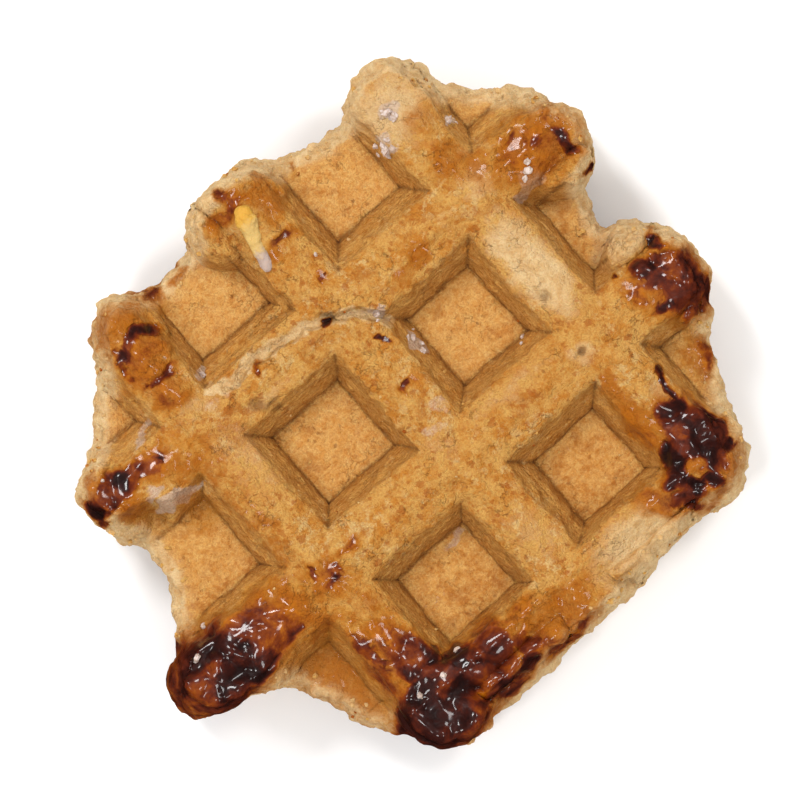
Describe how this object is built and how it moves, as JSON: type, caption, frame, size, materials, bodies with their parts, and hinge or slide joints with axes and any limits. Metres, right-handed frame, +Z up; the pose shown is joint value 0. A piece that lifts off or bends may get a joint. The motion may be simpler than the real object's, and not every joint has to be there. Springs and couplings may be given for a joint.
{
  "type": "liege waffle",
  "caption": "Thick yeast-dough waffle with a deep square grid on both faces, caramelised rib ends and a free, lumpy rounded edge; a baked dessert that lies flat.",
  "frame": {"origin": "middle of the bounding box, on the surface that the waffle lies on", "axes": "+X along the waffle's length and along one set of ribs, +Y along the other set, +Z up out of the upper face"},
  "size_m": [0.1, 0.0849, 0.024],
  "materials": {
    "baked_dough": "dull, dry baked dough with glossy caramel at the rib ends"
  },
  "bodies": {
    "root": {"waffle": "baked_dough"}
  },
  "joints": []
}
